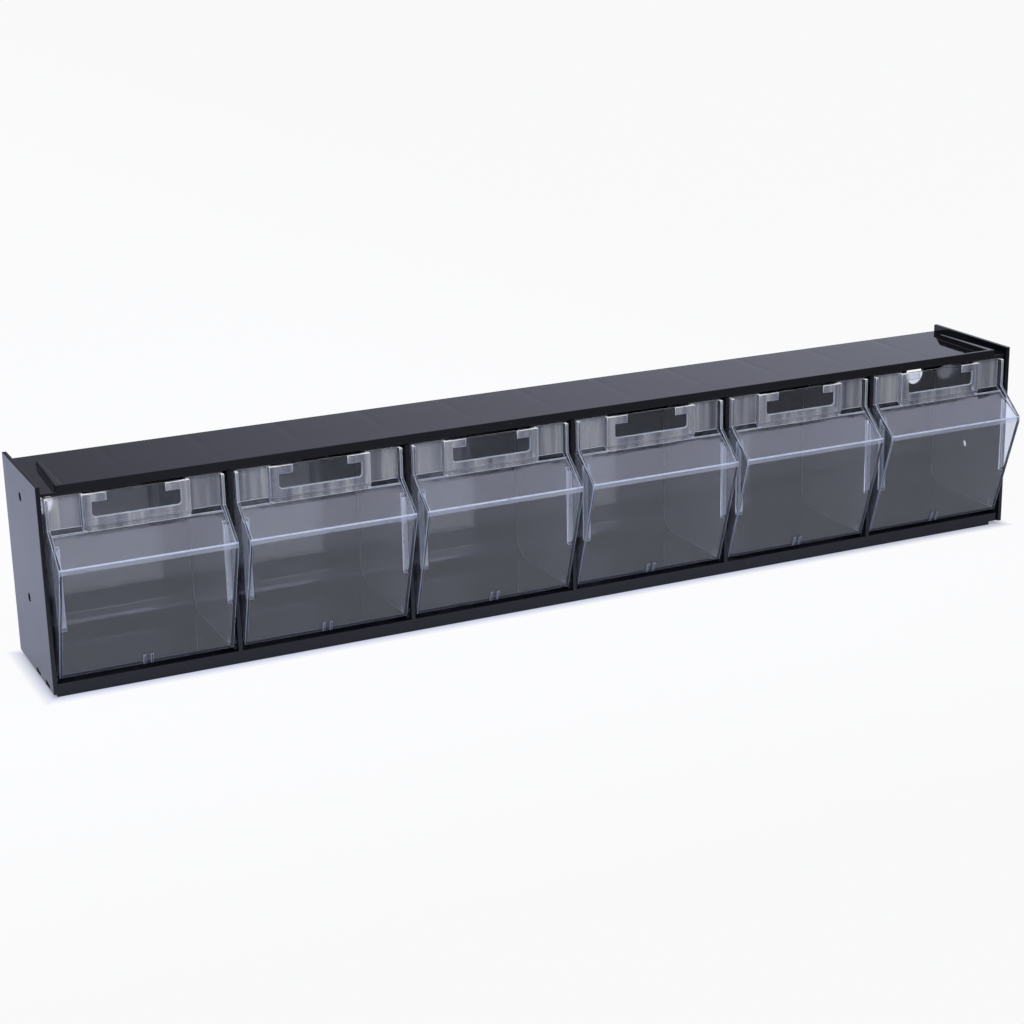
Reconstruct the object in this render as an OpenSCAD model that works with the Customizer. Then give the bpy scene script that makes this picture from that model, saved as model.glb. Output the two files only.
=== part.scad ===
// Tilt bin organizer: a black moulded frame with six clear bins side by side.
// Each bin hangs on two stub pins near its front bottom edge and tips forward.
// Lengths are millimetres. X runs along the row, Y from front to back, Z up.
// The origin is under the middle of the whole object, on the surface it stands on.

/* [Frame] */
// Width over the two end plates
frame_w = 600; // [480:1:720]
// Height over the end plates
frame_h = 114; // [108:1:130]
// Depth from the front edges of the dividers to the back
frame_d = 74; // [66:1:86]
// Thickness of an end plate
end_t = 2.4; // [2:0.1:3]
// Thickness of a divider
divider_t = 2.4; // [2:0.1:3.4]
// Height of the end plates above the surface
end_lift = 2.6; // [2:0.1:3.2]

/* [Top panel] */
// Thickness of the top sheet
top_t = 1.8; // [1.4:0.1:2.4]
// Drop from the end plates to the rim of the top tray
rim_drop = 0.8; // [0.4:0.1:1.6]
// Depth of the stacking tray behind the rim
tray_depth = 3.4; // [2.4:0.1:4.4]
// Thickness of the front rails, front to back
rail_t = 2; // [1.6:0.1:3]
// Set back of the rails behind the divider edges
rail_setback = 1.5; // [0.5:0.1:3]
// Width of the channel between an end plate's outer face and the tray rib
channel_w = 10.5; // [8:0.1:14]
// Width of a tray rib at its front end
tray_rib_front_w = 3.8; // [2.6:0.1:5]
// Width of a tray rib at its back end
tray_rib_back_w = 1.2; // [0.8:0.1:2]
// Length of a tray rib, front to back
tray_rib_length = 54; // [30:1:56]
// Length of the ramp at the back of a tray rib
tray_rib_ramp = 4; // [2:0.5:8]

/* [Bottom panel] */
// Thickness of the bottom sheet
bottom_t = 2; // [1.6:0.1:2.6]
// Height of the bottom sheet above the lower edge of the end plates
sheet_lift = 1; // [0.8:0.1:1.6]
// Height of the top edge of the bottom rail
rail_top = 7.9; // [7:0.1:8.2]
// Set back of the front foot behind the bottom rail
foot_setback = 1.6; // [0.8:0.1:3]
// Thickness of a foot, front to back
foot_t = 2.4; // [1.6:0.1:4]
// Gap left at the right end of the front foot
foot_relief = 4.6; // [0:0.1:10]
// Distance of the rear foot from each end plate
rear_foot_inset = 12; // [8:1:40]
// Length of a locking tab, front to back
tab_length = 8; // [5:0.5:12]
// Distance of the first locking tab behind the divider edges
tab_front = 8; // [7:0.5:12]
// Spacing of the two locking tabs at each end
tab_spacing = 20; // [16:1:30]
// Clearance of a locking tab in its slit
tab_clear = 0.15; // [0.1:0.05:0.3]
// Distance of a tab's end below the outer face of its end plate
tab_recess = 0.5; // [0.2:0.1:1]
// Width of the pad that a closed bin rests on
rest_w = 40; // [20:1:70]
// Distance of a rest pad behind the divider edges
rest_y = 46; // [30:1:48]
// Length of a rest pad, front to back
rest_length = 6; // [3:0.5:8]
// Gap between a rest pad and the bottom of its bin
rest_gap = 0.3; // [0.2:0.05:0.6]

/* [Back panel] */
// Thickness of the back panel
back_t = 2; // [1.6:0.1:3]
// Radius of a wall hole
wall_hole_r = 6.5; // [3:0.5:8]
// Height of the wall holes
wall_hole_z = 83.5; // [60:0.5:92]
// Distance of the wall holes from the outer faces of the end plates
wall_hole_inset = 17.5; // [14:0.5:60]

/* [End plate holes] */
// Radius of a side screw hole
side_hole_r = 2.4; // [1.5:0.1:3.5]
// Distance of the side screw holes behind the divider edges
side_hole_y = 38; // [20:1:50]
// Height of the lower side screw hole
side_hole_low = 44; // [30:1:48]
// Vertical spacing of the side screw holes
side_hole_rise = 55; // [30:1:56]

/* [Hinges] */
// Distance of the hinge axis behind the divider edges
pivot_y = 7; // [6:0.1:9]
// Height of the hinge axis
pivot_z = 13.6; // [13:0.1:15]
// Radius of a stub pin
pin_r = 2; // [1.4:0.1:2.6]
// Radial clearance of a stub pin in its bore
pin_clear = 0.05; // [0.03:0.01:0.1]
// Depth of a hinge bore beyond the face of its divider
bore_depth = 0.8; // [0.5:0.1:0.9]
// Gap between the end of a stub pin and the end of its bore
pin_end_gap = 0.15; // [0.1:0.05:0.3]
// Radius of the lug round a hinge bore
lug_r = 4.6; // [3.8:0.1:5]
// Gap between a lug and the side of its bin
lug_gap = 0.4; // [0.3:0.05:0.6]

/* [Bins] */
// Thickness of the clear walls
wall = 1.6; // [1.2:0.1:2]
// Gap between a bin and the divider beside it
side_gap = 1.8; // [1.4:0.1:2.4]
// Gap between a bin's top edge and the top panel
top_gap = 1.2; // [0.8:0.1:2]
// Gap between a bin's back wall and the back panel
back_gap = 4; // [2:0.5:8]
// Height of the outer face of a bin's bottom
bin_bottom = 10.3; // [9.6:0.1:11]
// Distance of a bin's lower front edge behind the divider edges
bin_front = 2.2; // [1.6:0.1:3]
// Radius of the rounded lower back edge
heel_r = 12; // [6:1:20]
// Reach of the lip in front of the divider edges
lip_reach = 18; // [10:0.5:24]
// Height of the front face of the lip
lip_h = 2.8; // [2:0.1:4]
// Drop from the top of the chute to the top of the lip
chute_drop = 12; // [8:0.5:18]
// Height of a side cheek above the chute at its upper end
cheek_h = 3.6; // [2:0.1:5]
// Gap under the top panel that the side walls keep while they swing
swing_gap = 1.4; // [0.8:0.1:2.4]
// Overlap of the back wall's top edge with the top panel at full tilt
stop_bite = 0.7; // [0.4:0.1:1.2]

/* [Label holder] */
// Height of the band that carries the label holder
band_h = 20; // [18:0.5:24]
// Set back of the band behind the divider edges
band_setback = 4; // [2.4:0.1:5]
// Rise of the ledge between the chute and the band
ledge_rise = 2.6; // [1:0.1:3.2]
// Width of the bead along the top of the chute
bead_w = 0.9; // [0.6:0.1:1.4]
// Height of that bead
bead_h = 0.8; // [0.4:0.1:1]
// Width of the proud label boss
boss_w = 56.6; // [50:0.1:62]
// Width of the label window
window_w = 46.6; // [38:0.1:48]
// Height of the label window
window_h = 12.6; // [10:0.1:15]
// Depth of the label window
window_depth = 0.9; // [0.6:0.1:1]
// Corner radius of the label window
window_r = 2; // [1:0.1:3]
// Width of a label retaining tab
clip_w = 8; // [5:0.5:10]
// Height of a label retaining tab
clip_h = 4.5; // [3:0.1:6]
// Thickness of a label retaining tab
clip_t = 0.5; // [0.3:0.05:0.55]
// Height of the lower line that is stepped into the boss
boss_step_h = 2.7; // [1.5:0.1:4]
// Depth of that step
boss_step_depth = 0.6; // [0.3:0.1:0.8]

/* [Bin ribs] */
// Height of the lower end of a corner rib
corner_rib_low = 38.6; // [36:0.1:45]
// Reach of a corner rib in front of the divider edges
corner_rib_reach = 6; // [5:0.1:8]
// Thickness of a corner rib, front to back
corner_rib_t = 2.2; // [1.4:0.1:3]
// Width of a corner rib beside the side wall
corner_rib_w = 2.4; // [1.2:0.1:4]
// Spacing of the two short nibs at the foot of a bin's front
nib_spacing = 4; // [3:0.5:8]
// Width of a nib
nib_w = 1.2; // [0.8:0.1:2]
// Height of a nib
nib_h = 5.5; // [3:0.5:8]
// Depth of a nib in front of the front wall
nib_depth = 0.7; // [0.4:0.1:1]

/* [Hidden] */
$fn = 48;
bin_count = 6;
frame_colour = [0.09, 0.09, 0.11];
clear_colour = [0.72, 0.78, 0.88, 0.45];
// Distance that a cut runs past the face it opens
over = 5;
// Shift of the frame's front plane from the middle of the whole depth
front_y = (lip_reach - frame_d) / 2;
inner_half = frame_w / 2 - end_t;
bay_w = (2 * inner_half - (bin_count - 1) * divider_t) / bin_count;
bay_pitch = bay_w + divider_t;
rim_z = frame_h - rim_drop;
tray_z = rim_z - tray_depth;
ceiling_z = tray_z - top_t;
sheet_z = end_lift + sheet_lift;
floor_z = sheet_z + bottom_t;
rail_back = rail_setback + rail_t;
back_face = frame_d - back_t;
tab_t = bottom_t - 2 * tab_clear;
bore_r = pin_r + pin_clear;
lug_t = side_gap - lug_gap;
bin_w = bay_w - 2 * side_gap;
bin_half = bin_w / 2;
bin_back = back_face - back_gap;
bin_top = ceiling_z - top_gap;
chute_top = bin_top - band_h;
lip_top = chute_top - chute_drop;
lip_low = lip_top - lip_h;
swing_r = ceiling_z - pivot_z - swing_gap;
stop_r = ceiling_z - pivot_z + stop_bite;
stop_z = pivot_z + sqrt(pow(stop_r, 2) - pow(bin_back - pivot_y, 2));
pin_length = side_gap + bore_depth - pin_end_gap;
ledge_z = chute_top + ledge_rise;

function bay_x(index) = -inner_half + bay_w / 2 + (index - 1) * bay_pitch;
function divider_x(index) = bay_x(index) + (bay_w + divider_t) / 2;

// Points of an arc about a centre, from one angle to another
function arc_points(centre, r, from, to, steps) =
    [for (i = [0 : steps]) centre + r * [cos(from + (to - from) * i / steps),
                                         sin(from + (to - from) * i / steps)]];

// Unit normal to the left of the step from a to b
function left_normal(a, b) = [a[1] - b[1], b[0] - a[0]] / norm(b - a);

// The corner between two steps, moved inside by t
function inset_corner(a, b, c, t) =
    let (n = left_normal(a, b), m = left_normal(b, c))
    b + t * (n + m) / (1 + n * m);

// A counterclockwise outline moved inside by t
function inset(points, t) =
    let (count = len(points))
    [for (i = [0 : count - 1])
        inset_corner(points[(i + count - 1) % count], points[i], points[(i + 1) % count], t)];

// The side outline of a bin, closed at the height top
function bin_outline(top) =
    concat([[bin_front, bin_bottom]],
           arc_points([bin_back - heel_r, bin_bottom + heel_r], heel_r, -90, 0, 8),
           [[bin_back, top], [band_setback, top], [band_setback, ledge_z], [0, chute_top],
            [-lip_reach, lip_top], [-lip_reach, lip_low]]);

// Everything is drawn from the front plane and then set in its place
module placed() {
    translate([0, front_y, 0])
        children();
}

// A side outline of [y, z] points between two places on X
module across(points, from_x, to_x) {
    translate([from_x, 0, 0])
        rotate([90, 0, 90])
            linear_extrude(to_x - from_x)
                polygon(points);
}

// A round bar or bore along X
module round_x(from_x, to_x, y, z, r) {
    translate([from_x, y, z])
        rotate([0, 90, 0])
            cylinder(r = r, h = to_x - from_x);
}

// A round bar or bore along Y
module round_y(from_y, to_y, x, z, r) {
    translate([x, from_y, z])
        rotate([-90, 0, 0])
            cylinder(r = r, h = to_y - from_y);
}

// A box between two corners
module block(low, high) {
    translate(low)
        cube(high - low);
}

module both_ends() {
    children();
    mirror([1, 0, 0])
        children();
}

// The tray rib at the left end: narrow at the back, with a ramp
module tray_rib() {
    outer_x = channel_w - frame_w / 2;
    inner_x = outer_x + tray_rib_front_w;
    end_y = rail_setback + tray_rib_length;
    intersection() {
        translate([0, 0, tray_z])
            linear_extrude(tray_depth)
                polygon([[outer_x, rail_setback], [inner_x, rail_setback],
                         [inner_x, end_y], [inner_x - tray_rib_back_w, end_y]]);
        across([[rail_setback, tray_z], [end_y, tray_z], [end_y - tray_rib_ramp, rim_z],
                [rail_setback, rim_z]], outer_x, inner_x);
    }
}

module top_panel() {
    rim_half = frame_w / 2 - channel_w;
    color(frame_colour)
        placed() {
            block([-inner_half, rail_setback, ceiling_z], [inner_half, frame_d, tray_z]);
            block([-rim_half, rail_setback, tray_z], [rim_half, rail_back, rim_z]);
            both_ends()
                tray_rib();
        }
}

// The two locking tabs at the left end, or their slits when grown
module locking_tabs(grow, outer_x) {
    tab_z = sheet_z + tab_clear;
    for (first = [tab_front, tab_front + tab_spacing])
        block([outer_x, first - grow, tab_z - grow],
              [-inner_half, first + tab_length + grow, tab_z + tab_t + grow]);
}

// The pad under the middle of a bin
module rest_pad(x) {
    block([x - rest_w / 2, rest_y, floor_z], [x + rest_w / 2, rest_y + rest_length, bin_bottom - rest_gap]);
}

module bottom_panel() {
    front_foot = rail_setback + foot_setback;
    rear_foot_half = inner_half - rear_foot_inset;
    color(frame_colour)
        placed() {
            block([-inner_half, rail_setback, sheet_z], [inner_half, frame_d, floor_z]);
            block([-inner_half, rail_setback, end_lift], [inner_half, rail_back, rail_top]);
            block([-inner_half, front_foot, 0], [inner_half - foot_relief, front_foot + foot_t, sheet_z]);
            block([-rear_foot_half, back_face - foot_t, 0], [rear_foot_half, back_face, sheet_z]);
            for (bay = [1 : bin_count])
                rest_pad(bay_x(bay));
            both_ends()
                locking_tabs(0, tab_recess - frame_w / 2);
        }
}

module back_panel() {
    color(frame_colour)
        placed()
            difference() {
                block([-inner_half, back_face, floor_z], [inner_half, frame_d, ceiling_z]);
                both_ends()
                    round_y(back_face - over, frame_d + over, wall_hole_inset - frame_w / 2, wall_hole_z,
                            wall_hole_r);
            }
}

// A lug with its foot on the bottom sheet, between two places on X
module hinge_lug(from_x, to_x) {
    round_x(from_x, to_x, pivot_y, pivot_z, lug_r);
    block([from_x, rail_back, floor_z], [to_x, pivot_y + lug_r, pivot_z]);
}

module end_plate() {
    outer_x = -frame_w / 2;
    difference() {
        union() {
            block([outer_x, 0, end_lift], [-inner_half, frame_d, frame_h]);
            hinge_lug(-inner_half, lug_t - inner_half);
        }
        round_x(-inner_half - bore_depth, lug_t - inner_half + over, pivot_y, pivot_z, bore_r);
        for (rise = [0, side_hole_rise])
            round_x(outer_x - over, -inner_half + over, side_hole_y, side_hole_low + rise, side_hole_r);
        locking_tabs(tab_clear, outer_x - over);
    }
}

module left_end_plate() {
    color(frame_colour)
        placed()
            end_plate();
}

module right_end_plate() {
    color(frame_colour)
        placed()
            mirror([1, 0, 0])
                end_plate();
}

module divider(index) {
    half = divider_t / 2;
    color(frame_colour)
        placed()
            translate([divider_x(index), 0, 0])
                difference() {
                    union() {
                        across([[0, rail_top], [rail_back, rail_top], [rail_back, floor_z],
                                [back_face, floor_z], [back_face, ceiling_z], [0, ceiling_z]], -half, half);
                        hinge_lug(-half - lug_t, half + lug_t);
                    }
                    both_ends()
                        round_x(half - bore_depth, half + lug_t + over, pivot_y, pivot_z, bore_r);
                }
}

// The outside of a bin: walls, side walls up to the front plane and the proud label boss
module bin_outside() {
    cheek = [[-lip_reach, lip_low], [band_setback, chute_top - cheek_h], [band_setback, bin_top],
             [0, bin_top], [0, chute_top + cheek_h], [-lip_reach, lip_top]];
    across(bin_outline(bin_top), -bin_half, bin_half);
    both_ends()
        across(cheek, bin_half - wall, bin_half);
    block([-boss_w / 2, 0, chute_top], [boss_w / 2, band_setback + wall, bin_top]);
}

// The hollow of a bin, open at the top and hollowed into the boss
module bin_inside() {
    boss_half = boss_w / 2 - wall;
    across(inset(bin_outline(bin_top + wall + over), wall), wall - bin_half, bin_half - wall);
    block([-boss_half, wall, ledge_z], [boss_half, band_setback + 2 * wall, bin_top + over]);
}

// What the swing under the top panel takes off the side walls
module swing_cut() {
    difference() {
        block([-bin_half - over, pivot_y, pivot_z], [bin_half + over, bin_back - wall, frame_h + over]);
        round_x(-bin_half - 2 * over, bin_half + 2 * over, pivot_y, pivot_z, swing_r);
    }
}

// The back wall ends at the edge that stops the tilt
module stop_cut() {
    block([-bin_half - over, bin_back - wall, stop_z], [bin_half + over, bin_back + over, frame_h + over]);
}

// The label window, open at the top, with rounded lower corners
module label_window() {
    low = bin_top - window_h;
    half = window_w / 2;
    block([window_r - half, -over, low], [half - window_r, window_depth, bin_top + over]);
    block([-half, -over, low + window_r], [half, window_depth, bin_top + over]);
    both_ends()
        round_y(-over, window_depth, half - window_r, low + window_r, window_r);
}

// The step along the lower edge of the boss
module boss_step() {
    block([-boss_w / 2 - over, -over, chute_top],
          [boss_w / 2 + over, boss_step_depth, chute_top + boss_step_h]);
}

// The retaining tab in the upper right corner of the window
module label_clip() {
    half = window_w / 2;
    block([half - clip_w, 0, bin_top - clip_h], [half, clip_t, bin_top]);
}

// The bead along the top of the chute, right of the boss
module chute_bead() {
    block([boss_w / 2 - wall, 0, chute_top - bead_h], [bin_half - wall / 2, bead_w, chute_top + bead_h]);
}

// The rib in the right front corner, from the front wall up to the chute
module corner_rib() {
    inner_x = bin_half - wall;
    intersection() {
        block([inner_x - corner_rib_w, -corner_rib_reach, corner_rib_low],
              [inner_x + wall / 2, corner_rib_t - corner_rib_reach, chute_top]);
        across(inset(bin_outline(bin_top), wall / 2), -bin_half, bin_half);
    }
}

// A short nib at the foot of the front wall, drawn along the wall's slope
module front_nib() {
    slope = (-lip_reach - bin_front) / (lip_low - bin_bottom);
    nib_top = bin_front + slope * nib_h;
    across([[bin_front, bin_bottom], [nib_top, bin_bottom + nib_h], [nib_top - nib_depth, bin_bottom + nib_h],
            [bin_front - nib_depth, bin_bottom]], (nib_spacing - nib_w) / 2, (nib_spacing + nib_w) / 2);
}

module bin(index) {
    color(clear_colour)
        placed()
            translate([bay_x(index), 0, 0]) {
                difference() {
                    bin_outside();
                    bin_inside();
                    swing_cut();
                    stop_cut();
                    label_window();
                    boss_step();
                }
                both_ends() {
                    label_clip();
                    chute_bead();
                    corner_rib();
                    front_nib();
                    round_x(bin_half, bin_half + pin_length, pivot_y, pivot_z, pin_r);
                }
            }
}

top_panel();
bottom_panel();
back_panel();
left_end_plate();
right_end_plate();
divider(1);  // divider_1
divider(2);  // divider_2
divider(3);  // divider_3
divider(4);  // divider_4
divider(5);  // divider_5
bin(1);  // bin_1
bin(2);  // bin_2
bin(3);  // bin_3
bin(4);  // bin_4
bin(5);  // bin_5
bin(6);  // bin_6
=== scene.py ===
# %% [markdown]
# A tilt bin organizer is a low black rack with six clear bins side by side. Each bin hangs on two stub pins
# near its lower front edge and tips forward, so that a hand reaches in over its lip. The rack's panels and
# the bins are injection mouldings, and everything that this file adds is about how moulded plastic looks:
# softened edges, a slightly uneven gloss and clear walls that catch the light.
#
# The solids come in as a fixed frame, in metres, with Z up and the front facing -Y. They have the right
# shape already, so they stay, and each gets rounded edges and a finish of its own.

import math

import bpy
from mathutils import Matrix, Vector


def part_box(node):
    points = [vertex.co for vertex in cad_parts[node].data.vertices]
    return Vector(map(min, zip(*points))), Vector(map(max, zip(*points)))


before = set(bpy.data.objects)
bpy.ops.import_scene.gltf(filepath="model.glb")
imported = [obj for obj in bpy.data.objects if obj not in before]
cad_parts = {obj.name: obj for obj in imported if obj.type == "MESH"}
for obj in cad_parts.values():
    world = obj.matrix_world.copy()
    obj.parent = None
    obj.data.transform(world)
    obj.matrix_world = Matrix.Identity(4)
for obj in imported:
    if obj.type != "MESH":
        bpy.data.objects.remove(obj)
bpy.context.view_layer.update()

# %% [markdown]
# The camera comes first, because every choice of gloss is judged through it. Its place could be found by
# eye, but a rack is all straight edges, and these were used to work out where the photographer stood: a
# little left of the middle, a good metre away and somewhat above. A long lens keeps the rack's edges nearly
# parallel. The camera is turned round the vertical, tipped up from looking straight down and then rolled by
# about a degree.

# %% Stand the camera where the photographer stood
AIM = Vector((-0.02217, 0.0070, 0.04843))
AZIMUTH = math.radians(-25.123)
ELEVATION = math.radians(17.710)
ROLL = math.radians(-1.204)
DISTANCE = 1.21221
LENS = 74.336

turn = Matrix.Rotation(AZIMUTH, 4, "Z") @ Matrix.Rotation(math.pi / 2 - ELEVATION, 4, "X")
turn = turn @ Matrix.Rotation(ROLL, 4, "Z")
camera = bpy.data.objects.new("photographer", bpy.data.cameras.new("photographer"))
camera.data.lens = LENS
camera.matrix_world = Matrix.Translation(AIM + DISTANCE * turn.col[2].to_3d()) @ turn
bpy.context.scene.collection.objects.link(camera)
bpy.context.scene.camera = camera
print("camera at", [round(x, 3) for x in camera.matrix_world.translation])

# %% [markdown]
# Finishes, the room and some modifiers are all graphs of nodes in Blender. A few tools make such graphs
# short to write. They add a node with its settings, do a sum, spread a value over a range, and mix two
# colours or two shaders. The last one asks Light Path which kind of ray is looking, so that a surface can
# show one thing to the camera and another to gloss. All of it could be written out node by node, but then
# the links would hide what is meant.

# %% Tools for nodes
def add(tree, kind, **settings):
    """A new node of that kind, with its settings made."""
    node = tree.nodes.new(kind)
    for name, value in settings.items():
        setattr(node, name, value)
    return node


def feed(tree, socket, value):
    """Puts a number, a colour or another node's output into a socket."""
    if isinstance(value, bpy.types.NodeSocket):
        tree.links.new(value, socket)
    else:
        socket.default_value = (*value, 1) if isinstance(value, tuple) else value


def calc(tree, operation, *terms):
    """The result of a sum with these terms."""
    node = add(tree, "ShaderNodeMath", operation=operation)
    for socket, term in zip(node.inputs, terms):
        feed(tree, socket, term)
    return node.outputs[0]


def spread(tree, value, low, high, start=0.3, end=0.7):
    """A value from start to end, such as noise, spread from low to high."""
    change = add(tree, "ShaderNodeMapRange")
    for socket, number in zip(change.inputs, (value, start, end, low, high)):
        feed(tree, socket, number)
    return change.outputs[0]


def tint(tree, share, first, second):
    """The first colour where the share is 0 and the second where it is 1."""
    blend = add(tree, "ShaderNodeMix", data_type="RGBA")
    sockets = blend.inputs["Factor"], blend.inputs[6], blend.inputs[7]
    for socket, value in zip(sockets, (share, first, second)):
        feed(tree, socket, value)
    return blend.outputs[2]


def either(tree, share, first, second):
    """The first shader where the share is 0 and the second where it is 1."""
    blend = add(tree, "ShaderNodeMixShader")
    for socket, value in zip(blend.inputs, (share, first, second)):
        feed(tree, socket, value)
    return blend.outputs[0]


def ray_share(tree, **shares):
    """The share given for the kind of ray that looks, such as glossy=0.4, and 0 for the other kinds."""
    path = add(tree, "ShaderNodeLightPath")
    total = 0
    for kind, share in shares.items():
        part = calc(tree, "MULTIPLY", path.outputs[f"Is {kind.title()} Ray"], share)
        total = calc(tree, "MAXIMUM", total, part)
    return total


# %% [markdown]
# Clear and glossy plastic shows little colour of its own: it shows the room. So the studio matters as much
# as the finishes. The room is pale overhead, darker low down behind the left end and brighter behind the
# right end, and the tray on top mirrors that as a soft gradient. Rays that reach the camera by way of gloss
# or a clear wall see this room. Rays that only carry light see an even pale grey, so that the rack is lit
# plainly from all round. Where the camera looks past the floor, it sees the same white as on the floor, so
# that no horizon shows.

# %% Paint the room round the rack
SKY_LIGHT = 0.45
SKY_TINT = (0.96, 0.97, 1.0)
ROOM_TINT = (0.78, 0.80, 1.0)
LOW_PLACE, LOW_LEVEL = (0.15, 0.60), (0.22, 0.75)
OVERHEAD = 1.9
RISE = (0.45, 0.80)
WHITE, BACKDROP = (1, 1, 1), 0.96

scene = bpy.context.scene
scene.view_settings.view_transform = "Standard"
scene.world = bpy.data.worlds.new("studio")
scene.world.use_nodes = True
room = scene.world.node_tree
room.nodes.clear()


def wall(paint, strength):
    """What one kind of ray sees of the room."""
    shade = add(room, "ShaderNodeBackground")
    feed(room, shade.inputs["Color"], paint)
    feed(room, shade.inputs["Strength"], strength)
    return shade.outputs[0]


direction = add(room, "ShaderNodeSeparateXYZ")
room.links.new(add(room, "ShaderNodeTexCoord").outputs["Generated"], direction.inputs[0])
level = add(room, "ShaderNodeMix", data_type="FLOAT")
feed(room, level.inputs["Factor"], spread(room, direction.outputs["Z"], 0, 1, *RISE))
feed(room, level.inputs["A"], spread(room, direction.outputs["X"], *LOW_LEVEL, *LOW_PLACE))
feed(room, level.inputs["B"], OVERHEAD)
mirrored = ray_share(room, glossy=1, transmission=1)
lit = either(room, mirrored, wall(SKY_TINT, SKY_LIGHT), wall(ROOM_TINT, level.outputs[0]))
shown = either(room, ray_share(room, camera=1), lit, wall(WHITE, BACKDROP))
room.links.new(shown, add(room, "ShaderNodeOutputWorld").inputs["Surface"])
print("room lit at", SKY_LIGHT, "with", OVERHEAD, "overhead")

# %% [markdown]
# The floor is a wide pale sheet. A real product table is matt paper, so it has almost no gloss, only a very
# slight unevenness in its cool white. It reaches far beyond the view, so that no edge of it shows. The
# black rails mirror the floor in front of them, and on the object they stay nearly black, so the sheet's
# colour is darkened towards the front and the right: painted shade, standing in for light that falls off.
# It could be lit unevenly instead, but a colour that fades is easier to steer.

# %% Lay the floor
FLOOR_REACH = 14.0
PAPER = ((0.64, 0.69, 0.95), (0.66, 0.71, 0.97))
SHADE_FADES = {"Y": (-0.33, -0.06, 0.20), "X": (0.60, 0.10, 0.45)}
PAPER_ROUGHNESS, PAPER_GLOSS = 0.9, 0.1
MOTTLE_SCALE = 3.0

floor_mesh = bpy.data.meshes.new("floor")
corners = [(x, y, 0.0) for x, y in ((-1, -1), (1, -1), (1, 1), (-1, 1))]
floor_mesh.from_pydata([FLOOR_REACH * Vector(c) for c in corners], [], [(0, 1, 2, 3)])
floor = bpy.data.objects.new("floor", floor_mesh)
scene.collection.objects.link(floor)

paper = bpy.data.materials.new("white_paper")
paper.use_nodes = True
sheet = paper.node_tree
matt = sheet.nodes["Principled BSDF"]
matt.inputs["Roughness"].default_value = PAPER_ROUGHNESS
matt.inputs["Specular IOR Level"].default_value = PAPER_GLOSS
place = add(sheet, "ShaderNodeTexCoord").outputs["Object"]
mottle = add(sheet, "ShaderNodeTexNoise")
mottle.inputs["Scale"].default_value = MOTTLE_SCALE
sheet.links.new(place, mottle.inputs["Vector"])
where = add(sheet, "ShaderNodeSeparateXYZ")
sheet.links.new(place, where.inputs[0])
colour = tint(sheet, mottle.outputs["Fac"], *PAPER)
shade_fade = {}
# painted shade: the paper's colour darkens towards the front and the right
for axis, (far, near, least) in SHADE_FADES.items():
    shade_fade[axis] = spread(sheet, where.outputs[axis], least, 1, far, near)
    darker = add(sheet, "ShaderNodeVectorMath", operation="SCALE")
    sheet.links.new(colour, darker.inputs[0])
    sheet.links.new(shade_fade[axis], darker.inputs["Scale"])
    colour = darker.outputs[0]
sheet.links.new(colour, matt.inputs["Base Color"])
floor_mesh.materials.append(paper)
print("floor", 2 * FLOOR_REACH, "m square")

# %% [markdown]
# A photographer lights the paper behind a product until it is white. More light would spoil the rack, so
# the sheet glows by itself for the rays that should see it white. The camera sees nearly plain white,
# except close to the rack, where a thin line of shade shows that it stands there. A clear wall shows most
# of that white where it lies behind the rack, and gloss sees the shading.

# %% Let the sheet look white
SHADE_REACH = 0.007
NEAR_WHITE, FAR_WHITE, GLOSS_WHITE, CLEAR_WHITE = 0.3, 0.94, 0.15, 0.75

left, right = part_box("left_end_plate")[0][0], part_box("right_end_plate")[1][0]
front, back = (corner[1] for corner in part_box("bottom_panel"))
gaps = []
for axis, first, last in (("X", left, right), ("Y", front, back)):
    offset = calc(sheet, "SUBTRACT", where.outputs[axis], (first + last) / 2)
    gaps.append(calc(sheet, "SUBTRACT", calc(sheet, "ABSOLUTE", offset), (last - first) / 2))
plain = spread(sheet, calc(sheet, "MAXIMUM", *gaps), NEAR_WHITE, FAR_WHITE, 0, SHADE_REACH)
behind = calc(sheet, "MULTIPLY", shade_fade["Y"], CLEAR_WHITE)
white = ray_share(sheet, camera=plain, glossy=GLOSS_WHITE, transmission=behind)
glow = add(sheet, "ShaderNodeEmission")
lit = either(sheet, white, matt.outputs[0], glow.outputs[0])
sheet.links.new(lit, sheet.nodes["Material Output"].inputs["Surface"])
print("the rack stands from", round(front, 4), "to", round(back, 4), "m on the sheet")

# %% [markdown]
# One long softbox hangs in front of the rack, above the camera and somewhat to the left. From there the
# rack's shadow falls behind it to the right, away from the floor that the left end plate mirrors. A white
# cloth over its lamps makes it even, which an area lamp gives by itself. Gloss and clear walls don't see
# it: they mirror the soft room, and a hard bright rectangle in each flat face would hide what the plastic
# is like.

# %% Hang the softbox
SOFTBOX_SIZE = (1.8, 1.0)
SOFTBOX_AT = Vector((-0.35, -1.05, 1.25))
SOFTBOX_POWER = 24.0

softbox = bpy.data.objects.new("softbox", bpy.data.lights.new("softbox", "AREA"))
softbox.data.shape = "RECTANGLE"
softbox.data.size, softbox.data.size_y = SOFTBOX_SIZE
softbox.data.energy = SOFTBOX_POWER
softbox.location = SOFTBOX_AT
softbox.rotation_euler = SOFTBOX_AT.to_track_quat("Z", "Y").to_euler()
softbox.visible_glossy = False
softbox.visible_transmission = False
scene.collection.objects.link(softbox)
print("softbox at", [round(x, 2) for x in SOFTBOX_AT], "of", SOFTBOX_POWER, "W")

# %% [markdown]
# No moulding has a truly sharp edge. Steel is polished and plastic shrinks, so every edge is rounded by a
# few tenths of a millimetre, and that thin round is what draws the bright lines along the rack. It could be
# modelled edge by edge, but modifiers do it on the solids as they are. Two of these are made of nodes, and
# this cell begins with what they need: a way to start one and a test for bent edges. Then comes the first,
# which shades flats flat, rounds round and corners sharp.

# %% Tools to mark and shade a moulding
EDGE_BEND = math.radians(35)


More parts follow.
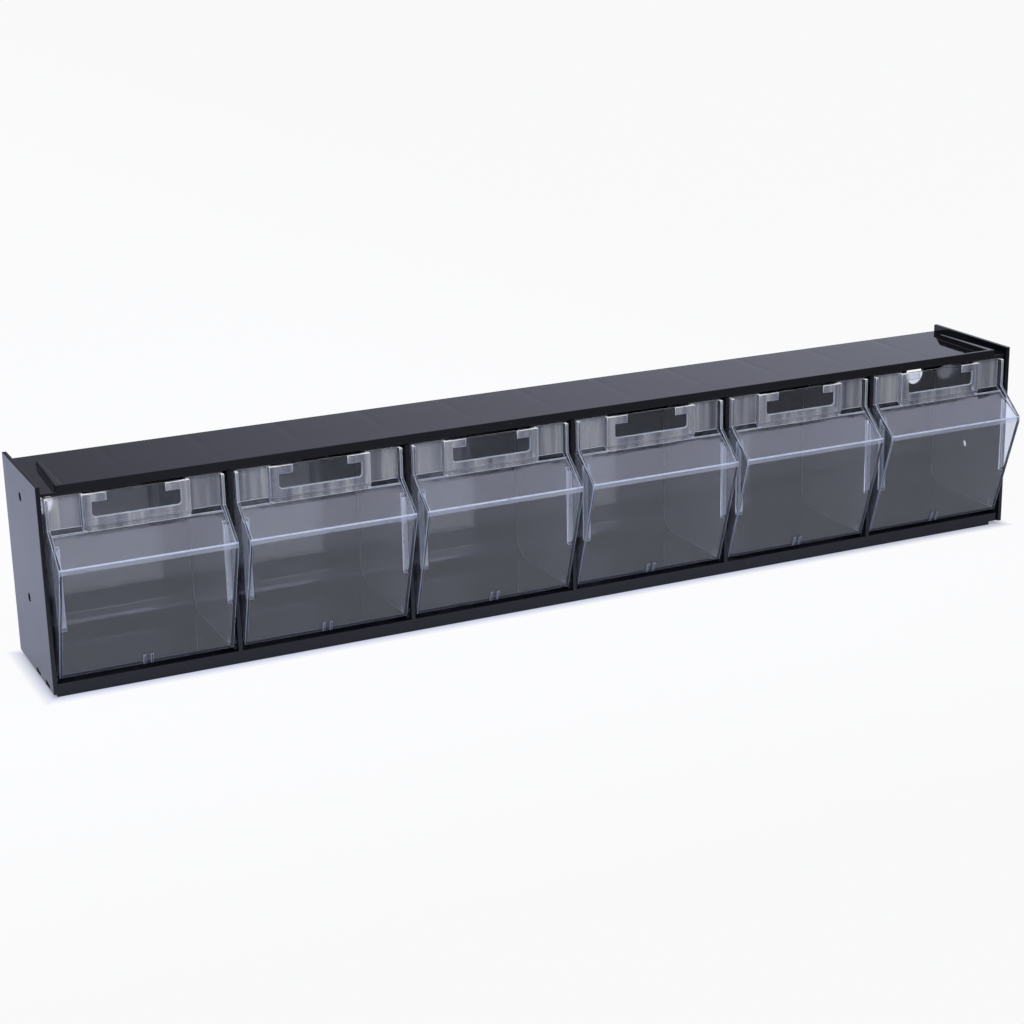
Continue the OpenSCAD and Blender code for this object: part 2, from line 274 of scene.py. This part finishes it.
def node_tool(name):
    """An empty modifier made of nodes, with where its solid comes in and where it leaves."""
    tool = bpy.data.node_groups.new(name, "GeometryNodeTree")
    for socket, way in (("Solid", "INPUT"), ("Moulding", "OUTPUT")):
        tool.interface.new_socket(socket, in_out=way, socket_type="NodeSocketGeometry")
    return tool, add(tool, "NodeGroupInput").outputs[0], add(tool, "NodeGroupOutput").inputs[0]


def bent(tool, kind):
    """True on edges bent by more than EDGE_BEND: outer ones for Signed Angle, all for Unsigned Angle."""
    test = add(tool, "FunctionNodeCompare", data_type="FLOAT", operation="GREATER_THAN")
    test.inputs[1].default_value = EDGE_BEND
    tool.links.new(add(tool, "GeometryNodeInputMeshEdgeAngle").outputs[kind], test.inputs[0])
    return test.outputs[0]


even_shading, solid, done = node_tool("even_shading")
smooth = add(even_shading, "GeometryNodeSetMeshNormal")
smooth.inputs["Remove Custom"].default_value = True
smooth.inputs["Edge Sharpness"].default_value = False
smooth.inputs["Face Sharpness"].default_value = False
corner = add(even_shading, "GeometryNodeSetShadeSmooth", domain="EDGE")
corner.inputs["Shade Smooth"].default_value = False
even_shading.links.new(solid, smooth.inputs["Mesh"])
even_shading.links.new(smooth.outputs[0], corner.inputs["Geometry"])
even_shading.links.new(bent(even_shading, "Unsigned Angle"), corner.inputs["Selection"])
even_shading.links.new(corner.outputs[0], done)
print("corners sharper than", round(math.degrees(EDGE_BEND)), "degrees are shaded as corners")

# %% [markdown]
# The second one is for the bins, where faces that lie side by side look different. The faces could be
# picked by hand and painted one by one, but a rule does all six bins alike and leaves the solids as they
# are. A rule is made of simple questions: where does a face lie, which way does it look, and are two
# answers true at once?

# %% Questions to ask of a bin's faces
mark_bin, solid, done = node_tool("mark_bin")


def parts(field):
    """The X, Y and Z of a field such as the place or the way a face looks."""
    split = add(mark_bin, "ShaderNodeSeparateXYZ")
    mark_bin.links.new(add(mark_bin, field).outputs[0], split.inputs[0])
    return split.outputs


def inside(value, low, high):
    """True where the value lies between low and high."""
    test = add(mark_bin, "FunctionNodeCompare", data_type="FLOAT", operation="EQUAL")
    test.inputs[1].default_value = (low + high) / 2
    test.inputs["Epsilon"].default_value = (high - low) / 2
    mark_bin.links.new(value, test.inputs[0])
    return test.outputs[0]


def logic(operation, first, second):
    """True where both are (AND), one is (OR) or the first and not the second (NIMPLY)."""
    test = add(mark_bin, "FunctionNodeBooleanMath", operation=operation)
    mark_bin.links.new(first, test.inputs[0])
    mark_bin.links.new(second, test.inputs[1])
    return test.outputs[0]


def choose(test, yes, no):
    """One share where the test is true and the other, a number or a field, where it isn't."""
    switch = add(mark_bin, "GeometryNodeSwitch", input_type="FLOAT")
    for socket, value in (("Switch", test), ("True", yes), ("False", no)):
        feed(mark_bin, switch.inputs[socket], value)
    return switch.outputs[0]


AGAINST, WITH = (-1.01, -0.99), (0.99, 1.01)

at = parts("GeometryNodeInputPosition")
looks = parts("GeometryNodeInputNormal")
facing_front = inside(looks["Y"], *AGAINST)

# %% [markdown]
# Edges come first. On a bin the lip gets a fuller round than the other outer edges, because hands slide
# over it, and inner corners get the least. The share is kept with each edge, where the rounding modifier
# looks for it.

# %% Mark how far each edge of a bin is rounded
EDGE_SHARES = {"inner": 0.3, "outer": 0.5, "lip": 1.0}
LIP_FRONT = -0.045

outer = choose(bent(mark_bin, "Signed Angle"), EDGE_SHARES["outer"], EDGE_SHARES["inner"])
weight = add(mark_bin, "GeometryNodeStoreNamedAttribute", data_type="FLOAT", domain="EDGE")
weight.inputs["Name"].default_value = "bevel_weight_edge"
mark_bin.links.new(solid, weight.inputs["Geometry"])
mark_bin.links.new(bent(mark_bin, "Unsigned Angle"), weight.inputs["Selection"])
on_lip = inside(at["Y"], -1, LIP_FRONT)
mark_bin.links.new(choose(on_lip, EDGE_SHARES["lip"], outer), weight.inputs["Value"])
print("edges of a bin rounded by shares of", list(EDGE_SHARES.values()))

# %% [markdown]
# Then come the faces. The band with the label frame is matt, so that a label stands out in its clear
# window, and the small rims and ribs go with it. The side walls get a pale blue haze and the front of the
# lip a pale colour, both painted light, and the rim on top gets the painted highlight of the edges' finish.
# Each kind is picked by its place in metres and gets the number of a finish that is made below.

# %% Mark the faces of a bin that have their own finish
MATT_LAYERS = ((-0.0285, -0.0272), (-0.0245, -0.0235))
BAND_DEPTH, BAND_HEIGHT = (-0.0285, -0.0228), (0.070, 0.120)
RIB_DEPTH, RIB_HEIGHT = (-0.0345, -0.0312), (0.038, 0.085)
TOP_HEIGHT = (0.1063, 0.1073)
SIDELONG = (-0.5, 0.5)
WALL_AREA = 0.001
EDGE_SLOT, MATT_SLOT, SIDE_SLOT, LIP_SLOT = 1, 2, 3, 4

layers = logic("OR", *(inside(at["Y"], *layer) for layer in MATT_LAYERS))
band = logic("AND", layers, logic("AND", facing_front, inside(at["Z"], *BAND_HEIGHT)))
lip = logic("AND", facing_front, on_lip)
large = add(mark_bin, "FunctionNodeCompare", data_type="FLOAT", operation="GREATER_THAN")
large.inputs[1].default_value = WALL_AREA
mark_bin.links.new(add(mark_bin, "GeometryNodeInputMeshFaceArea").outputs[0], large.inputs[0])
sideways = logic("OR", inside(looks["X"], *AGAINST), inside(looks["X"], *WITH))
sides = logic("AND", sideways, large.outputs[0])
steps = logic("AND", inside(looks["Y"], *SIDELONG), inside(at["Y"], *BAND_DEPTH))
ribs = logic("AND", inside(at["Y"], *RIB_DEPTH), inside(at["Z"], *RIB_HEIGHT))
rims = logic("OR", logic("AND", steps, inside(at["Z"], *BAND_HEIGHT)), ribs)
small_rims = logic("NIMPLY", rims, large.outputs[0])
top = logic("AND", inside(looks["Z"], *WITH), inside(at["Z"], *TOP_HEIGHT))
marked = weight.outputs[0]
matt_faces = logic("OR", band, small_rims)
for faces, slot in ((matt_faces, MATT_SLOT), (sides, SIDE_SLOT), (lip, LIP_SLOT), (top, EDGE_SLOT)):
    mark = add(mark_bin, "GeometryNodeSetMaterialIndex")
    mark.inputs["Material Index"].default_value = slot
    mark_bin.links.new(marked, mark.inputs["Geometry"])
    mark_bin.links.new(faces, mark.inputs["Selection"])
    marked = mark.outputs[0]
mark_bin.links.new(marked, done)
print("band, rims, side walls, lip and top of a bin marked for slots", EDGE_SLOT, "to", LIP_SLOT)

# %% [markdown]
# Now each solid gets the same row of modifiers. They join the corners of its triangles, merge the triangles
# of each flat face, mark the edges and faces where there are marks, round the edges and shade the result.
# Merging comes before rounding, because an edge inside a flat face must not be rounded.

# %% Round the edges of a moulding
PANEL_ROUND, BIN_ROUND = 0.00035, 0.0005
PANEL_STEPS, BIN_STEPS = 2, 3
CORNER_REACH, FLAT_BEND = 1e-6, math.radians(1)
FLATS_LEAD = 100


def round_edges(node, radius, steps, marks=None):
    """Rounds a solid's edges by that radius and leaves its own mesh alone. With marks, as these say."""
    join = node.modifiers.new("join_corners", "WELD")
    join.merge_threshold = CORNER_REACH
    flat = node.modifiers.new("merge_flats", "DECIMATE")
    flat.decimate_type = "DISSOLVE"
    flat.angle_limit = FLAT_BEND
    if marks:
        node.modifiers.new("mark_edges", "NODES").node_group = marks
    edge = node.modifiers.new("round_edges", "BEVEL")
    edge.width = radius
    edge.segments = steps
    edge.limit_method = "WEIGHT" if marks else "ANGLE"
    edge.angle_limit = EDGE_BEND
    edge.use_clamp_overlap = False
    edge.material = EDGE_SLOT if marks else -1
    node.modifiers.new("shade_evenly", "NODES").node_group = even_shading
    weigh = node.modifiers.new("keep_flats_flat", "WEIGHTED_NORMAL")
    weigh.mode = "FACE_AREA"
    weigh.weight = FLATS_LEAD
    weigh.keep_sharp = True


BINS = sorted(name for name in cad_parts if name.startswith("bin_"))
PANELS = sorted(set(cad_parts) - set(BINS))
for name in PANELS:
    round_edges(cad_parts[name], PANEL_ROUND, PANEL_STEPS)
for name in BINS:
    round_edges(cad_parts[name], BIN_ROUND, BIN_STEPS, mark_bin)
print("rounded", len(PANELS), "panels and", len(BINS), "bins")

# %% [markdown]
# Moulded plastic is never quite even, and that is what makes it look real. The unevenness could come from
# photographs wrapped round each piece, but noise in the piece's own coordinates needs no wrapping, has a
# real size in metres and moves with its piece. These helpers start a finish, make the noise, raise the
# surface by it and put the finish on.

# %% Helpers for a moulded finish
def finish(name):
    """A new finish: its material, its node tree, its shader and its place on the piece in metres."""
    material = bpy.data.materials.new(name)
    material.use_nodes = True
    tree = material.node_tree
    place = add(tree, "ShaderNodeTexCoord").outputs["Object"]
    return material, tree, tree.nodes["Principled BSDF"], place


def cloud(tree, place, scale, detail=2.0, stretch=(1, 1, 1)):
    """Soft noise with about that many waves in a metre, pulled out along an axis where stretch is small."""
    pull = add(tree, "ShaderNodeMapping")
    pull.inputs["Scale"].default_value = stretch
    noise = add(tree, "ShaderNodeTexNoise")
    noise.inputs["Scale"].default_value = scale
    noise.inputs["Detail"].default_value = detail
    tree.links.new(place, pull.inputs["Vector"])
    tree.links.new(pull.outputs[0], noise.inputs["Vector"])
    return noise.outputs["Fac"]


def relief(tree, shader, height, depth):
    """Raises the surface by height times depth, on top of any relief that it has."""
    bump = add(tree, "ShaderNodeBump")
    bump.inputs["Distance"].default_value = depth
    tree.links.new(height, bump.inputs["Height"])
    if shader.inputs["Normal"].is_linked:
        tree.links.new(shader.inputs["Normal"].links[0].from_socket, bump.inputs["Normal"])
    tree.links.new(bump.outputs[0], shader.inputs["Normal"])


def coat(node, material):
    """Gives a solid this finish in its one slot."""
    node.material_slots[0].material = material


# %% [markdown]
# The rack is black high-impact styrene, moulded in polished steel. It is glossy but not perfect: the gloss
# varies where the melt cooled at different speeds, a fine orange peel lies over it, and specks of dust
# settle on it. The specks are the middles of a cell pattern's cells, so that they lie at uneven distances
# but seldom on top of each other.

# %% Black styrene
BLACKS = ((0.003, 0.0032, 0.0045), (0.006, 0.0063, 0.0088))
STYRENE_GLOSS = 0.42
PEEL_DEPTH = 0.00002
DUST_CELLS = 110
DUST_SIZE = 0.035
DUST_TINT = (0.16, 0.16, 0.19)


def black_styrene(name, dull, shiny):
    """Glossy black plastic, as dull or shiny as that in its clouds of gloss."""
    material, tree, shader, place = finish(name)
    shader.inputs["Specular IOR Level"].default_value = STYRENE_GLOSS
    flow = cloud(tree, place, 22, detail=4, stretch=(0.35, 1, 1))
    black = tint(tree, spread(tree, flow, 0, 1), *BLACKS)
    specks = add(tree, "ShaderNodeTexVoronoi")
    specks.inputs["Scale"].default_value = DUST_CELLS
    tree.links.new(place, specks.inputs["Vector"])
    dusty = spread(tree, specks.outputs["Distance"], 1, 0, DUST_SIZE / 2, DUST_SIZE)
    tree.links.new(tint(tree, dusty, black, DUST_TINT), shader.inputs["Base Color"])
    gloss = cloud(tree, place, 55, detail=5)
    tree.links.new(spread(tree, gloss, shiny, dull), shader.inputs["Roughness"])
    relief(tree, shader, cloud(tree, place, 420, detail=2), PEEL_DEPTH)
    return material, tree, shader, place


rack_black, *_ = black_styrene("rack_black", dull=0.16, shiny=0.08)
for name in PANELS:
    coat(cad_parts[name], rack_black)
print("black styrene on", len(PANELS), "panels")

# %% [markdown]
# The tray on top has something of its own. Where plastic is thicker underneath, it shrinks more and leaves
# a faint hollow line across the top, a sink mark. The tray has one over each divider and one half-way
# between two. At such even steps, the distance to the nearest mark is a zigzag of the place along X, and
# that gives the hollow's shape. The marks fade towards the front, and the sheet has slight long waves. All
# of it is only hundredths of a millimetre deep, too little for the mesh, so the finish does it.

# %% The tray with its sink marks
MARK_STEP = 0.0498
MARK_WIDTH = 0.004
MARK_DEPTH = 0.00007
MARK_FADE, MARK_SHARES = (-0.01, 0.035), (-0.2, -1)
WAVE_DEPTH = 0.00012

tray_black, tree, shader, place = black_styrene("tray_black", dull=0.09, shiny=0.04)
along = add(tree, "ShaderNodeSeparateXYZ")
tree.links.new(place, along.inputs[0])
zigzag = calc(tree, "PINGPONG", along.outputs["X"], MARK_STEP / 2)
stronger = spread(tree, along.outputs["Y"], *MARK_SHARES, *MARK_FADE)
hollow = calc(tree, "MULTIPLY", spread(tree, zigzag, 1, 0, 0, MARK_WIDTH), stronger)
relief(tree, shader, hollow, MARK_DEPTH)
relief(tree, shader, cloud(tree, place, 26, detail=3, stretch=(0.4, 1, 1)), WAVE_DEPTH)
coat(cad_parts["top_panel"], tray_black)
print("sink marks every", MARK_STEP, "m")

# %% [markdown]
# The bins are clear styrene. Each wall is a real closed solid, so light bends at both of its faces and the
# edges glow as they do on the object. The finish has a trace of blue, faint flow lines that run up from the
# gate at the bottom, and a haze of fine handling scratches in its gloss. The blue could be put in the depth
# of the wall, but such a depth goes wrong on a solid with several finishes, so it is in the surface. Lamps
# shine through clear plastic, and a mix by Light Path's shadow rays lets them.

# %% Clear styrene
STYRENE_IOR = 1.53
CLEAR_TINTS, CLEAR_ROUGHNESS = ((0.93, 0.955, 1.0), (0.96, 0.975, 1.0)), (0.0, 0.015)
FLOW_DEPTH = 0.00001
LAMP_TINT = (0.86, 0.88, 0.92)


def clear_finish(name):
    """A new finish that bends light as styrene does. How much of it passes is set for each finish."""
    material, tree, shader, place = finish(name)
    shader.inputs["IOR"].default_value = STYRENE_IOR
    return material, tree, shader, place


def vary(tree, shader, noise, tints, roughness):
    """Lets a noise choose the colour between two tints and the roughness between two values."""
    tree.links.new(tint(tree, spread(tree, noise, 0, 1), *tints), shader.inputs["Base Color"])
    tree.links.new(spread(tree, noise, *roughness), shader.inputs["Roughness"])


bin_clear, tree, shader, place = clear_finish("bin_clear")
shader.inputs["Transmission Weight"].default_value = 1.0
vary(tree, shader, cloud(tree, place, 70, detail=6), CLEAR_TINTS, CLEAR_ROUGHNESS)
relief(tree, shader, cloud(tree, place, 160, detail=3, stretch=(1, 1, 0.06)), FLOW_DEPTH)
lamp_light = add(tree, "ShaderNodeBsdfTransparent")
feed(tree, lamp_light.inputs["Color"], LAMP_TINT)
surface = either(tree, ray_share(tree, shadow=1), shader.outputs[0], lamp_light.outputs[0])
tree.links.new(surface, tree.nodes["Material Output"].inputs["Surface"])
for name in BINS:
    coat(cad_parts[name], bin_clear)
print("clear styrene on", len(BINS), "bins")

# %% [markdown]
# Light that gets caught between the two faces of a clear wall runs along it and comes out at its edges, so
# they look paler and bluer than the wall. Following each of those rays would take hundreds of turns, so the
# rounded edges get a finish of their own that scatters light a little, in a pale blue colour: painted light
# for what comes out there. Less light reaches the foot of a bin between the black panels, so the edges are
# painted darker there, a painted shade. The rim on top lies open to the lamps, so it is painted nearly
# white
# and lets little light through: a painted highlight, the brightest of all.

# %% Edges of the clear bins
EDGE_GLOW_TINTS, EDGE_ROUGHNESS = ((0.55, 0.66, 0.92), (0.82, 0.88, 1.0)), (0.25, 0.45)
FOOT, FOOT_SHADE_TINT = (0.012, 0.070), (0.32, 0.38, 0.52)
CROWN, CROWN_HIGHLIGHT = (0.1045, 0.1060), (0.95, 0.97, 1.0)
EDGE_PASSES, CROWN_PASSES = 0.46, 0.10


def add_to_bins(material):
    """Adds a finish to the bins' slots, in the order of the numbers that mark their faces."""
    for name in BINS:
        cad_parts[name].data.materials.append(material)


bin_edge, tree, shader, place = clear_finish("bin_edge")
wear_and_glow = cloud(tree, place, 240, detail=4)
along = add(tree, "ShaderNodeSeparateXYZ")
tree.links.new(place, along.inputs[0])
# painted light: a pale blue where light comes out at the edges, varied by noise
pale = tint(tree, spread(tree, wear_and_glow, 0, 1), *EDGE_GLOW_TINTS)
# painted shade: the edges darker towards the foot of the bin
pale = tint(tree, spread(tree, along.outputs["Z"], 0, 1, *FOOT), FOOT_SHADE_TINT, pale)
# painted highlight: the rim on top nearly white and passing little light
crown_highlight = spread(tree, along.outputs["Z"], 0, 1, *CROWN)
passes = spread(tree, crown_highlight, EDGE_PASSES, CROWN_PASSES, 0, 1)
tree.links.new(tint(tree, crown_highlight, pale, CROWN_HIGHLIGHT), shader.inputs["Base Color"])
tree.links.new(passes, shader.inputs["Transmission Weight"])
tree.links.new(spread(tree, wear_and_glow, *EDGE_ROUGHNESS), shader.inputs["Roughness"])
add_to_bins(bin_edge)
print("pale edges on", len(BINS), "bins")

# %% [markdown]
# The band with the label frame is spark-eroded in the mould, and so are the small rims and ribs. That
# leaves a fine grain which scatters light, so they look like lightly frosted glass beside the clear window.
# Where the melt ran up the wall it left clearer and paler streaks, so noise that is pulled out along Z
# decides how much light passes.

# %% Matt faces of the clear bins
MATT_TINTS, MATT_ROUGHNESS = ((0.97, 0.98, 1.0), (0.80, 0.84, 1.0)), (0.10, 0.18)
MATT_PASSES = (0.66, 0.92)

bin_matt, tree, shader, place = clear_finish("bin_matt")
grain = cloud(tree, place, 900, detail=3)
streaks = cloud(tree, place, 190, detail=3, stretch=(1, 1, 0.05))
tree.links.new(tint(tree, spread(tree, streaks, 0, 1), *MATT_TINTS), shader.inputs["Base Color"])
tree.links.new(spread(tree, streaks, *MATT_PASSES), shader.inputs["Transmission Weight"])
tree.links.new(spread(tree, grain, *MATT_ROUGHNESS), shader.inputs["Roughness"])
add_to_bins(bin_matt)
print("matt bands on", len(BINS), "bins")

# %% [markdown]
# The side walls look paler and bluer than the front, because light runs along them inside the plastic
# and scatters on its long way. That light is painted into the surface as a pale blue haze: a little of
# the light is scattered, and the rest passes.

# %% Side walls of the clear bins
SIDE_GLOW_TINTS, SIDE_ROUGHNESS = ((0.84, 0.88, 1.0), (0.90, 0.93, 1.0)), (0.02, 0.06)
SIDE_PASSES = 0.93

bin_side, tree, shader, place = clear_finish("bin_side")
shader.inputs["Transmission Weight"].default_value = SIDE_PASSES
# painted light: a pale blue haze for the light that runs along the wall
vary(tree, shader, cloud(tree, place, 70, detail=6), SIDE_GLOW_TINTS, SIDE_ROUGHNESS)
add_to_bins(bin_side)
print("hazy side walls on", len(BINS), "bins")

# %% [markdown]
# The front of the lip is where a hand pulls. It catches the light from above along its whole width, and
# fingers have polished it from side to side. Its pale colour is painted light for that, and it scatters
# more light than the walls. Its colour, gloss and relief all follow one noise that is pulled out along X.

# %% Front of the lip
LIP_GLOW_TINTS, LIP_ROUGHNESS = ((0.66, 0.73, 0.95), (0.92, 0.94, 1.0)), (0.08, 0.25)
LIP_PASSES = 0.72
LIP_DEPTH = 0.00002

bin_lip, tree, shader, place = clear_finish("bin_lip")
shader.inputs["Transmission Weight"].default_value = LIP_PASSES
streaks = cloud(tree, place, 300, detail=4, stretch=(0.08, 1, 1))
# painted light: the lip's pale colour, in streaks along X like its polish
vary(tree, shader, streaks, LIP_GLOW_TINTS, LIP_ROUGHNESS)
relief(tree, shader, streaks, LIP_DEPTH)
add_to_bins(bin_lip)
print("pale lips on", len(BINS), "bins")
